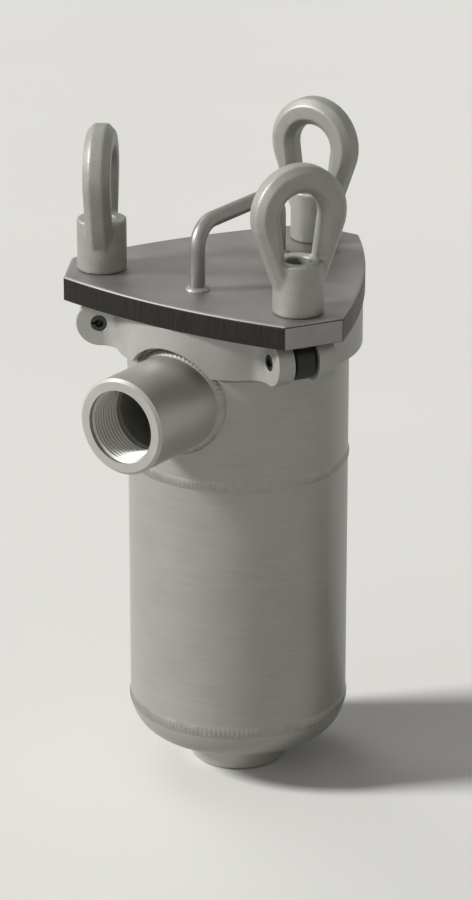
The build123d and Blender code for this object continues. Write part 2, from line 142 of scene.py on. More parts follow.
class BasketSettings(bpy.types.PropertyGroup):
    """Sizes and colours of the basket and the bag."""

    steel_colour: bpy.props.StringProperty(
        name="Basket steel", description="Dull stainless sheet, sRGB hex", default="#82827D"
    )
    band_colour: bpy.props.StringProperty(
        name="Rim band", description="Satin stainless band, sRGB hex", default="#85857F"
    )
    strap_colour: bpy.props.StringProperty(
        name="Bail strap", description="Stainless strap, sRGB hex", default="#80807B"
    )
    ring_colour: bpy.props.StringProperty(
        name="Bag ring", description="Spring steel, sRGB hex", default="#9E9E99"
    )
    felt_colour: bpy.props.StringProperty(
        name="Felt", description="Undyed needle felt, sRGB hex", default="#DDD8C8"
    )
    thread_colour: bpy.props.StringProperty(
        name="Sewing thread", description="Undyed polyester, sRGB hex", default="#B9B2A0"
    )
    hole_pitch: bpy.props.FloatProperty(
        name="Hole pitch", description="Spacing of the perforations", default=3.3 * MM, unit="LENGTH"
    )
    web: bpy.props.FloatProperty(
        name="Web", description="Metal left between two perforations", default=1.0 * MM, unit="LENGTH"
    )
    sheet: bpy.props.FloatProperty(
        name="Sheet", description="Thickness of the perforated sheet", default=1.0 * MM, unit="LENGTH"
    )


class CoverSettings(bpy.types.PropertyGroup):
    """Sizes and colours of the cover and the eye nuts."""

    plate_colour: bpy.props.StringProperty(
        name="Plate", description="Dull rolled plate, sRGB hex", default="#8C8987"
    )
    # colour of the plate's side faces, darkened as painted shade
    shaded_edge_colour: bpy.props.StringProperty(
        name="Edge shade", description="Painted shade on the side faces, sRGB hex", default="#2A2826"
    )
    bar_colour: bpy.props.StringProperty(
        name="Handle bar", description="Bent round bar, sRGB hex", default="#8E8C88"
    )
    nut_colour: bpy.props.StringProperty(
        name="Nut", description="Zinc-plated casting, sRGB hex", default="#9C9C95"
    )


class StageSettings(bpy.types.PropertyGroup):
    """Floor, camera and lamps."""

    floor_colour: bpy.props.StringProperty(
        name="Floor", description="Pale floor, sRGB hex", default="#EAE9E5"
    )
    azimuth: bpy.props.FloatProperty(
        name="Azimuth", description="Camera round the housing, from the inlet's side",
        default=math.radians(35), unit="ROTATION",
    )
    elevation: bpy.props.FloatProperty(
        name="Elevation", description="Camera above the horizon", default=math.radians(21), unit="ROTATION"
    )
    lens: bpy.props.FloatProperty(name="Lens", description="Focal length, mm", default=150.0)


# ---------------------------------------------------------------- small helpers
def linear(hex_colour):
    """sRGB hex to a linear colour with alpha."""
    channels = [int(hex_colour[i:i + 2], 16) / 255 for i in (1, 3, 5)]
    return (*(c / 12.92 if c <= 0.04045 else ((c + 0.055) / 1.055) ** 2.4 for c in channels), 1.0)


def shade(hex_colour, factor):
    """A colour made lighter or darker, as a linear colour."""
    return (*(min(c * factor, 1.0) for c in linear(hex_colour)[:3]), 1.0)


def per_metre(size_mm):
    """Texture scale that gives features of this size."""
    return 1000.0 / size_mm


def nothing():
    """Leaves edit mode and deselects everything."""
    if bpy.context.object and bpy.context.object.mode != "OBJECT":
        bpy.ops.object.mode_set(mode="OBJECT")
    bpy.ops.object.select_all(action="DESELECT")


def only(piece):
    """Makes one object the whole selection and the active one."""
    nothing()
    piece.select_set(True)
    bpy.context.view_layer.objects.active = piece


def pick(piece, kind, test):
    """In object mode, selects only the vertices, edges or polygons that pass a test."""
    mesh = piece.data
    bpy.context.tool_settings.mesh_select_mode = [kind == each for each in ("vertices", "edges", "polygons")]
    for group in (mesh.vertices, mesh.edges, mesh.polygons):
        group.foreach_set("select", [False] * len(group))
    for part in getattr(mesh, kind):
        part.select = test(part)


def edit(piece, select="FACE"):
    """Enters edit mode on one object, with its selection kept."""
    only(piece)
    bpy.ops.object.mode_set(mode="EDIT")
    bpy.ops.mesh.select_mode(type=select)


def edit_all(piece, select="VERT"):
    """Enters edit mode on one object, with everything selected."""
    edit(piece, select)
    bpy.ops.mesh.select_all(action="SELECT")


def leave():
    """Back to object mode."""
    bpy.ops.object.mode_set(mode="OBJECT")


def settle(piece):
    """Puts an object's place, turn and scale into its mesh."""
    only(piece)
    bpy.ops.object.transform_apply(location=True, rotation=True, scale=True)


def modify(piece, kind, **values):
    """Adds a modifier with its values and applies it."""
    only(piece)
    modifier = piece.modifiers.new(kind.title(), kind)
    for name, value in values.items():
        setattr(modifier, name, value)
    bpy.ops.object.modifier_apply(modifier=modifier.name)


def smooth(piece, degrees=35):
    """Smooth shading, with the edges sharper than this left hard."""
    only(piece)
    bpy.ops.object.shade_smooth_by_angle(angle=math.radians(degrees))


def finish(piece, name, body, material, nodes=()):
    """Names a finished piece, gives it its material and lets it ride on its body."""
    piece.name = name
    piece.data.name = name
    piece.data.materials.clear()
    piece.data.materials.append(material)
    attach(piece, body)
    if nodes:
        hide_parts(*nodes)
    return piece


def paint(material, *nodes):
    """Gives CAD nodes a material through their objects' slots."""
    for name in nodes:
        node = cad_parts[name]
        for slot in node.material_slots:
            slot.link = "OBJECT"
            slot.material = material


def soft_copy(name, edge, segments=2, sharp=28):
    """A CAD node's merged copy with its sharp edges rounded."""
    nothing()
    piece = bpy.data.objects.new(f"{name}_soft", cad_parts[name].data.copy())
    bpy.context.collection.objects.link(piece)
    piece.data.materials.clear()
    edit_all(piece, "FACE")
    bpy.ops.mesh.remove_doubles(threshold=0.005 * MM)
    bpy.ops.mesh.dissolve_limited(angle_limit=math.radians(0.6))
    leave()
    modify(piece, "BEVEL", width=edge, segments=segments, limit_method="ANGLE",
           angle_limit=math.radians(sharp))
    smooth(piece)
    modify(piece, "WEIGHTED_NORMAL", keep_sharp=True)
    return piece


def outline(points, closed=True):
    """A chain of (radius, height) points in the XZ plane: a circle's corners, put in their places."""
    nothing()
    bpy.ops.mesh.primitive_circle_add(vertices=len(points), radius=1, fill_type="NOTHING")
    piece = bpy.context.object
    for vertex, (reach, height) in zip(piece.data.vertices, points):
        vertex.co = (reach, 0, height)
    if not closed:
        pick(piece, "edges", lambda line: set(line.vertices) == {0, len(points) - 1})
        edit(piece, "EDGE")
        bpy.ops.mesh.delete(type="EDGE")
        leave()
    return piece


def face_out(piece, merge=0.001 * MM):
    """Merges an object's doubles and turns its faces outwards."""
    edit_all(piece)
    bpy.ops.mesh.remove_doubles(threshold=merge)
    bpy.ops.mesh.normals_make_consistent(inside=False)
    leave()


def turned(points, steps=96, closed=True):
    """Spins an outline of (radius, height) points about Z into a solid."""
    piece = outline(points, closed)
    edit_all(piece)
    bpy.ops.mesh.spin(steps=steps, angle=math.tau, center=(0, 0, 0), axis=(0, 0, 1))
    leave()
    face_out(piece)
    return piece


def wound(points, closed, pitch, turns, steps):
    """Winds an outline up a helix about Z."""
    piece = outline(points, closed)
    modify(piece, "SCREW", screw_offset=pitch, iterations=turns, steps=steps, render_steps=steps,
           use_merge_vertices=True, merge_threshold=0.01 * MM, use_normal_calculate=True)
    return piece


def threaded(major, root, pitch, low, high, steps=40):
    """A rod along Z with a helical thread, cut square at both ends."""
    start = low - 2 * pitch
    middle, crest = start + pitch / 2, 0.16 * pitch        # the crest's middle and half of its width
    piece = wound(
        [(root, start), (major, middle - crest), (major, middle + crest), (root, start + pitch)],
        False, pitch, math.ceil((high - low) / pitch) + 4, steps,
    )
    for height, below in ((low, True), (high, False)):
        edit_all(piece)
        bpy.ops.mesh.bisect(plane_co=(0, 0, height), plane_no=(0, 0, 1), use_fill=True,
                            clear_inner=below, clear_outer=not below)
        leave()
    face_out(piece, 0.005 * MM)
    return piece


def inner_thread(wall, crest, pitch, low, high, steps=56):
    """A helical ridge along Z, standing inwards from the wall of a bore, with closed ends."""
    section = ((wall, 0.0), (crest, 0.42), (crest, 0.52), (wall, 0.94))        # radius, part of a pitch
    piece = wound(
        [(radius, low + part * pitch) for radius, part in section],
        True, pitch, math.floor((high - low) / pitch) - 1, steps,
    )
    edit(piece, "EDGE")
    bpy.ops.mesh.select_all(action="DESELECT")
    bpy.ops.mesh.select_non_manifold(extend=False)
    bpy.ops.mesh.edge_face_add()
    leave()
    face_out(piece)
    return piece


def move(piece, matrix):
    """Moves a mesh in object space."""
    piece.data.transform(matrix)


def joined(pieces):
    """Joins loose pieces into the first."""
    only(pieces[0])
    for piece in pieces[1:]:
        piece.select_set(True)
    bpy.ops.object.join()
    return pieces[0]


def bead(stations, ripple_pitch, ripple=0.22 * MM, section=10):
    """A rippled weld bead round a closed joint. Each station is the bead's root and its two toes."""
    nothing()
    count = len(stations)
    crown_height, wander = 0.55 * MM, 0.25 * MM
    bpy.ops.mesh.primitive_grid_add(x_subdivisions=section, y_subdivisions=count, size=1)
    piece = bpy.context.object
    middles = [(toe_a + toe_b) / 2 for _, toe_a, toe_b in stations]
    runs = [0.0]
    for i in range(count):
        runs.append(runs[-1] + (middles[(i + 1) % count] - middles[i]).length)
    ripples = round(runs[-1] / ripple_pitch)
    for index, vertex in enumerate(piece.data.vertices):
        i, j = divmod(index, section + 1)
        i, j = i % count, j % section                      # the grid's last row and column close the bead
        corner, toe_a, toe_b = stations[i]
        if j == section - 1:
            vertex.co = corner                             # inside the joint
            continue
        across = j / (section - 2)                         # 0 at one toe, 1 at the other
        crown = 4 * across * (1 - across)
        phase = (runs[i] / runs[-1] * ripples - 0.45 * crown) % 1      # each ripple is a crescent
        rise = crown_height + noise.noise(toe_a * 90) * wander + ripple * (2 * phase - 1)
        vertex.co = toe_a.lerp(toe_b, across) + (middles[i] - corner).normalized() * crown * rise
    face_out(piece)
    smooth(piece, 50)
    return piece


# ---------------------------------------------------------------- materials
def add(material, kind, inputs=None, **settings):
    """Adds a node to a material with its settings, and puts values or links into its sockets."""
    tree = material.node_tree
    node = tree.nodes.new("ShaderNode" + kind)
    for name, value in settings.items():
        setattr(node, name, value)
    for name, value in (inputs or {}).items():
        if isinstance(value, bpy.types.NodeSocket):
            tree.links.new(value, node.inputs[name])
        else:
            node.inputs[name].default_value = value
    return node


def blank(name):
    """An empty material."""
    material = bpy.data.materials.new(name)
    material.use_nodes = True
    material.node_tree.nodes.clear()
    return material


def ramp(material, factor, *stops):
    """Colours at places along a factor."""
    node = add(material, "ValToRGB", {"Fac": factor})
    elements = node.color_ramp.elements
    while len(elements) < len(stops):
        elements.new(0.5)
    for element, (place, colour) in zip(elements, stops):
        element.position, element.color = place, colour
    return node.outputs["Color"]


def spread(material, factor, low, high):
    """A factor from 0 to 1, turned to a range."""
    return add(material, "MapRange", {"Value": factor, "To Min": low, "To Max": high}).outputs["Result"]


def fade(material, value, start, end):
    """0 up to the start, 1 from the end on, and a straight run between."""
    return add(material, "MapRange", {"Value": value, "From Min": start, "From Max": end}).outputs["Result"]


def calc(material, operation, *values):
    """The result of one operation on numbers or sockets."""
    return add(material, "Math", dict(enumerate(values)), operation=operation).outputs[0]


def average(material, first, second):
    """Halfway between two sockets."""
    return calc(material, "MULTIPLY", calc(material, "ADD", first, second), 0.5)


def clouds(material, place, size_mm, detail, **inputs):
    """Noise with features of this size."""
    inputs = {"Vector": place, "Scale": per_metre(size_mm), "Detail": detail, **inputs}
    return add(material, "TexNoise", inputs).outputs["Fac"]


def mixed(material, factor, first, second, kind="RGBA"):
    """Two colours mixed by a factor, or two numbers where the kind is FLOAT."""
    # the Mix node's sockets for that kind
    a, b, result = {"RGBA": (6, 7, 2), "FLOAT": (2, 3, 0)}[kind]
    return add(material, "Mix", {"Factor": factor, a: first, b: second}, data_type=kind).outputs[result]


def bump(material, height, depth_mm):
    """A normal from a height."""
    return add(material, "Bump", {"Height": height, "Distance": depth_mm * MM}).outputs["Normal"]


def seen_rays(material):
    """1 where a thing is looked at, straight or in a reflection, and 0 for the light that it throws."""
    path = add(material, "LightPath")
    seen = path.outputs["Is Camera Ray"]
    for kind in ("Is Glossy Ray", "Is Transmission Ray"):
        seen = calc(material, "MAXIMUM", seen, path.outputs[kind])
    return seen


def surface(material, **values):
    """The shader and the output; values go into its sockets, with _ for a space."""
    inputs = {name.replace("_", " "): value for name, value in values.items()}
    shader = add(material, "BsdfPrincipled", inputs)
    output = add(material, "OutputMaterial")
    material.node_tree.links.new(shader.outputs["BSDF"], output.inputs["Surface"])
    return material


def metal(name, colour, *, metallic, rough, mottle, grain, depth, stretch=(1, 1, 1), contrast=0.1,
          worn=0.0, faced=None):
    """Metal: a clouded colour (mottle, mm), a fine grain (mm) with its depth (mm), drawn out by stretch.

    worn lightens its edges, and a level face at the height faced (m) is turned bright.
    """
    material = blank(name)
    place = add(material, "TexCoord").outputs["Object"]
    cloud = clouds(material, place, mottle, 4.0)
    drawn = add(material, "Mapping", {"Vector": place, "Scale": stretch}).outputs["Vector"]
    fine = clouds(material, drawn, grain, 3.0)
    half = average(material, cloud, fine)
    tint = ramp(material, half, (0.3, shade(colour, 1 - contrast)), (0.7, shade(colour, 1 + contrast)))
    if worn:
        keen = fade(material, add(material, "NewGeometry").outputs["Pointiness"], 0.52, 0.6)
        tint = mixed(material, keen, tint, shade(colour, 1 + worn))
    height, gloss = fine, spread(material, half, rough - 0.08, rough + 0.08)
    if faced:
        # a turning tool's rings: coarser than real ones, so that they show
        feed, ring_height, face_gloss, face_light = 0.8 * MM, 0.2, rough - 0.14, 1.22
        level = add(material, "SeparateXYZ", {"Vector": place}).outputs["Z"]
        level = fade(material, level, faced - 0.3 * MM, faced - 0.1 * MM)
        flat = add(material, "VectorMath", {0: place, 1: (1, 1, 0)}, operation="MULTIPLY").outputs[0]
        reach = add(material, "VectorMath", {0: flat}, operation="LENGTH").outputs["Value"]
        rings = calc(material, "SINE", calc(material, "MULTIPLY", reach, math.tau / feed))
        rings = calc(material, "MULTIPLY", rings, ring_height)
        height = mixed(material, level, fine, rings, "FLOAT")
        gloss = mixed(material, level, gloss, face_gloss, "FLOAT")
        tint = mixed(material, level, tint, shade(colour, face_light))
    relief = bump(material, height, depth)
    return surface(material, Base_Color=tint, Metallic=metallic, Normal=relief, Roughness=gloss)


def plate_metal(name, colour, shaded_edge_colour):
    """Rolled plate with a dull mill finish, and side faces painted darker as painted shade, with a flame
    cut's drag lines in them.
    """
    material = blank(name)
    coords = add(material, "TexCoord")
    place, facing = coords.outputs["Object"], coords.outputs["Normal"]
    upright = add(material, "SeparateXYZ", {"Vector": facing}).outputs["Z"]
    # faces that look up or down keep the plate's colour, and the side faces get the painted shade
    flat = fade(material, calc(material, "ABSOLUTE", upright), 0.45, 0.65)
    # painted light: the three corner facets are painted as pale as the top, as though lit
    for number in NUMBERS:
        turn = clevis_turn(number)
        out = add(material, "VectorMath", {0: facing, 1: (math.cos(turn), math.sin(turn), 0)},
                  operation="DOT_PRODUCT").outputs["Value"]
        flat = calc(material, "MAXIMUM", flat, fade(material, out, 0.97, 0.99))
    cloud = clouds(material, place, 22, 5.0)
    grit = clouds(material, place, 0.7, 2.0)
    # drag lines that a cutting flame leaves down an edge, 1.2 mm apart
    drag = add(material, "Mapping", {"Vector": place, "Scale": (1, 1, 0.12)}).outputs["Vector"]
    lines = clouds(material, drag, 1.2, 2.0)
    rolled = ramp(material, cloud, (0.3, shade(colour, 0.86)), (0.7, shade(colour, 1.12)))
    # the side faces: painted shade, darker than the top, mottled along the drag lines
    cut = ramp(material, lines, (0.3, shade(shaded_edge_colour, 0.8)), (0.7, shade(shaded_edge_colour, 1.35)))
    relief = bump(material, mixed(material, flat, lines, grit, "FLOAT"), 0.05)
    # the plate's colour on the top and the corner facets, painted shade on the other side faces
    return surface(
        material, Base_Color=mixed(material, flat, cut, rolled), Metallic=0.75, Normal=relief,
        Roughness=spread(material, cloud, 0.42, 0.58),
    )


def felt(name, colour):
    """Needle-punched polyester felt: a matt mat of short fibres with a soft sheen."""
    material = blank(name)
    place = add(material, "TexCoord").outputs["Object"]
    cloud = clouds(material, place, 9, 4.0)
    fibres = clouds(material, place, 0.9, 6.0, Distortion=1.5)
    half = average(material, cloud, fibres)
    tint = ramp(material, half, (0.3, shade(colour, 0.84)), (0.65, shade(colour, 1.05)))
    relief = bump(material, fibres, 0.4)
    return surface(material, Base_Color=tint, Roughness=0.95, Sheen_Weight=0.4, Normal=relief)


def rubber(name, colour):
    """Moulded nitrile: black, matt, with a faint bloom."""
    material = blank(name)
    place = add(material, "TexCoord").outputs["Object"]
    bloom = clouds(material, place, 6, 4.0)
    tint = ramp(material, bloom, (0.35, shade(colour, 0.9)), (0.7, shade(colour, 1.7)))
    relief = bump(material, clouds(material, place, 0.5, 2.0), 0.02)
    return surface(material, Base_Color=tint, Roughness=0.6, IOR=1.52, Normal=relief)


# ---------------------------------------------------------------- operators
class DressHousing(bpy.types.Operator):
    """Puts the casting, pipe, coupling and seal finishes on the housing, and adds the pipe threads"""

    bl_idname = "filter.dress_housing"
    bl_label = "Housing"

    def execute(self, context):
        look = context.scene.housing_look
        casting = metal(
            "Blasted stainless casting", look.casting_colour, metallic=0.35, rough=0.48, mottle=14, grain=0.9,
            depth=0.10, faced=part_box("head_ring")[1].z,
        )
        head = soft_copy("head_ring", look.edge)
        finish(head, "head_casting", HOUSING, casting, ["head_ring"])
        # pipe is polished round its length, so its lines are long across and close along Z
        pipe = metal(
            "Satin stainless pipe", look.pipe_colour, metallic=0.4, rough=0.4, mottle=30, grain=1.1,
            depth=0.03, stretch=(0.05, 0.05, 1), contrast=0.08,
        )
        paint(pipe, "upper_shell", "lower_shell", "bottom_head", "basket_seat")
        # a turned finish, lighter than the pipe in part as painted light
        forged = metal(
            "Turned stainless forging", look.coupling_colour_and_light, metallic=0.45, rough=0.4, mottle=18, grain=0.8,
            depth=0.03, contrast=0.08,
        )
        paint(forged, "inlet_coupling", "outlet_coupling")
        low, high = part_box("inlet_coupling")
        inwards = Matrix.Rotation(math.radians(-90), 4, "X")
        at_inlet = Matrix.Translation((0, low.y, (low.z + high.z) / 2)) @ inwards
        bore, sunk, mouth = 19.05 * MM, 0.2 * MM, 1.2 * MM
        for name, end, place in (
            ("inlet_thread", 23.5 * MM, at_inlet),
            ("outlet_thread", 19.5 * MM, Matrix.Identity(4)),
        ):
            ridge = inner_thread(bore + sunk, bore - look.thread_depth, look.pipe_pitch, mouth, end)
            move(ridge, place)
            smooth(ridge)
            finish(ridge, name, HOUSING, forged)
        paint(rubber("Nitrile rubber", look.seal_colour), "cover_seal")
        return {"FINISHED"}


class LayWelds(bpy.types.Operator):
    """Lays the rippled weld beads"""

    bl_idname = "filter.lay_welds"
    bl_label = "Welds"

    def execute(self, context):
        look = context.scene.housing_look
        bright = metal(
            "Cleaned weld bead", look.weld_colour, metallic=0.6, rough=0.42, mottle=5, grain=0.8,
            depth=0.04, contrast=0.16,
        )
        shell = half_width("lower_shell")
        # butt welds round the shell
        low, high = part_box("girth_welds")
        width, root_sunk, toes_sunk = 7.0 * MM, 1.2 * MM, 0.15 * MM
        to_toe = UP * width * 0.46
        rings = []
        for height in (low.z + width / 2, high.z - width / 2):
            stations = []
            for out in ring(620):
                middle = out * (shell - toes_sunk) + UP * height
                stations.append((out * (shell - root_sunk) + UP * height, middle - to_toe, middle + to_toe))
            rings.append(bead(stations, look.ripple_pitch))
        finish(joined(rings), "girth_beads", HOUSING, bright, ["girth_welds"])
        # fillet round the inlet coupling, where its outside meets the shell
        leg = 3.0 * MM
        toe = leg * 0.9
        low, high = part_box("inlet_coupling")
        radius, height = half_width("inlet_coupling"), (low.z + high.z) / 2

        def on_shell(out, reach):
            """The place on the shell this far from the inlet's axis, in a direction across it."""
            x = out.x * reach
            return Vector((x, -math.sqrt(shell ** 2 - x * x), height + out.y * reach))

        saddle = bead([
            (on_shell(out, radius - 0.8 * MM), on_shell(out, radius) + Vector((0, -toe, 0)),
             on_shell(out, radius + toe))
            for out in ring(360)
        ], look.ripple_pitch)
        finish(saddle, "inlet_bead", HOUSING, bright, ["inlet_weld"])
        # fillet round the outlet coupling, under the bottom head
        low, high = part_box("outlet_weld")
        radius, root_sunk = half_width("outlet_coupling"), 0.6 * MM
        outlet = bead([
            (out * (radius - root_sunk) + UP * (high.z - root_sunk),
             out * radius + UP * (low.z + 0.3 * MM),
             out * (radius + toe) + UP * (low.z + leg))
            for out in ring(360)
        ], look.ripple_pitch)
        finish(outlet, "outlet_bead", HOUSING, bright, ["outlet_weld"])
        paint(bright, "ring_weld")
        # fillets round the handle's feet
        low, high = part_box("handle_welds")
        rod, foot_reach, leg, lift, root_sunk = 4.0 * MM, 36.0 * MM, 2.2 * MM, 0.05 * MM, 0.5 * MM
        feet = []
        for side in (-1, 1):
            foot = Vector((0, side * foot_reach, low.z))
            feet.append(bead([
                (foot + out * (rod - root_sunk) + UP * lift, foot + out * rod + UP * leg,
                 foot + out * (rod + leg) + UP * lift)
                for out in ring(96)
            ], ripple_pitch=1.6 * MM, ripple=0.12 * MM))
        finish(joined(feet), "handle_beads", COVER, bright, ["handle_welds"])
        return {"FINISHED"}


class FitBolts(bpy.types.Operator):
    """Makes the threaded swing bolts, and puts the finish on their spring pins"""

    bl_idname = "filter.fit_bolts"
    bl_label = "Swing bolts"

    def execute(self, context):
        look = context.scene.housing_look
        black = metal(
            "Black oxide steel", look.bolt_colour, metallic=0.6, rough=0.4, mottle=9, grain=0.6,
            depth=0.03, contrast=0.2,
        )
        spring = metal(
            "Black spring steel", look.pin_colour, metallic=0.7, rough=0.35, mottle=6, grain=0.5,
            depth=0.02, contrast=0.15,
        )
        paint(spring, "clevis_pins")
        pin_z, pin_reach = centre("clevis_pins").z, 70.0 * MM
        # the eye's radius, half thickness, rounding, and the bore for the pin with its chamfer
        eye, half, edge, bore, chamfer = 10.5 * MM, 6.2 * MM, 1.5 * MM, 4.1 * MM, 0.4 * MM
        # the shank's radius, and where its collar's foot, collar, neck and thread start along it
        major, collar_foot, collar, neck, thread_start = 6.35 * MM, 6.0 * MM, 7.0 * MM, 13.0 * MM, 24.0 * MM
        root, plain, overlap = major - look.thread_depth, major - 0.1 * MM, 0.5 * MM
        for number in NUMBERS:
            node = f"swing_bolt_{number}"
            forged = turned([
                (bore + chamfer, -half), (eye - edge, -half), (eye, edge - half),
                (eye, half - edge), (eye - edge, half), (bore + chamfer, half),
                (bore, half - chamfer), (bore, chamfer - half),
            ], 48)
            move(forged, Matrix.Rotation(math.radians(90), 4, "X"))
            shank = turned([
                (0, collar_foot), (major + 1.2 * MM, collar), (plain, neck),
                (plain, thread_start - 1.0 * MM), (root, thread_start), (0, thread_start),
            ], 40, closed=False)
            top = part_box(node)[1].z - pin_z
            rod = threaded(major - 0.02 * MM, root, look.bolt_pitch, thread_start - overlap, top - 1.2 * MM)
            point = turned([
                (0, top - 1.4 * MM), (root, top - 1.4 * MM), (major - 1.3 * MM, top), (0, top),
            ], 40, closed=False)
            bolt = joined([forged, shank, rod, point])
            place = centre(node)
            spot = Vector((place.x, place.y, 0)).normalized() * pin_reach + UP * pin_z
            move(bolt, Matrix.Translation(spot) @ Matrix.Rotation(clevis_turn(number), 4, "Z"))
            smooth(bolt, 32)
            finish(bolt, f"bolt_{number}", HOUSING, black, [node])
        return {"FINISHED"}


class WeaveBasket(bpy.types.Operator):
    """Perforates the basket's screen and puts the finishes on the rest of the basket"""

    bl_idname = "filter.weave_basket"
    bl_label = "Basket"

    def execute(self, context):
        look = context.scene.basket_look
        perforated = metal(
            "Perforated stainless sheet", look.steel_colour, metallic=0.6, rough=0.48, mottle=12, grain=0.8,
            depth=0.04,
        )
        low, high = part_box("basket_screen")
        radius, height, close = half_width("basket_screen"), high.z - low.z, 0.01 * MM
        nothing()
        bpy.ops.mesh.primitive_grid_add(
            x_subdivisions=round(math.tau * radius / look.hole_pitch),
            y_subdivisions=round(height / look.hole_pitch), size=1,
        )
        screen = bpy.context.object
        for vertex in screen.data.vertices:
            turn = (vertex.co.x + 0.5) * math.tau
            rise = (vertex.co.y + 0.5) * height
            vertex.co = (radius * math.cos(turn), radius * math.sin(turn), low.z + rise)
        edit_all(screen)
        bpy.ops.mesh.remove_doubles(threshold=close)
        leave()
        squares = len(screen.data.vertices)
        edit_all(screen, "EDGE")
        bpy.ops.mesh.poke()
        leave()

        def between_squares(line):
            """An edge of the old squares that is not on the screen's top or bottom."""
            a, b = line.vertices
            middle = (screen.data.vertices[a].co.z + screen.data.vertices[b].co.z) / 2
            return a < squares and b < squares and low.z + close < middle < high.z - close

        # the old squares' edges go, which leaves diamonds
        pick(screen, "edges", between_squares)
        edit(screen, "EDGE")
        bpy.ops.mesh.dissolve_edges(use_verts=False)
        leave()
        pick(screen, "polygons", lambda face: len(face.vertices) == 4)
        edit(screen, "FACE")
        bpy.ops.mesh.inset(thickness=look.web / 2, use_individual=True)
        bpy.ops.mesh.delete(type="FACE")
        leave()
        edit_all(screen)
        bpy.ops.mesh.normals_make_consistent(inside=False)
        leave()
        modify(screen, "SOLIDIFY", thickness=look.sheet, offset=-1.0)
        smooth(screen, 30)
        finish(screen, "screen_mesh", BASKET, perforated, ["basket_screen"])
        paint(perforated, "basket_bottom")
        band = metal(
            "Satin stainless band", look.band_colour, metallic=0.6, rough=0.42, mottle=20, grain=0.9,
            depth=0.03, stretch=(0.06, 0.06, 1), contrast=0.08,
        )
        paint(band, "bail_lugs", "bail_rivets")
        rounding = 0.4 * MM
        finish(soft_copy("basket_rim", rounding), "rim", BASKET, band, ["basket_rim"])
        strap = metal(
            "Stainless strap", look.strap_colour, metallic=0.6, rough=0.42, mottle=16, grain=0.8, depth=0.04,
        )
        finish(soft_copy("bail", rounding), "bail_strap", "bail", strap, ["bail"])
        return {"FINISHED"}


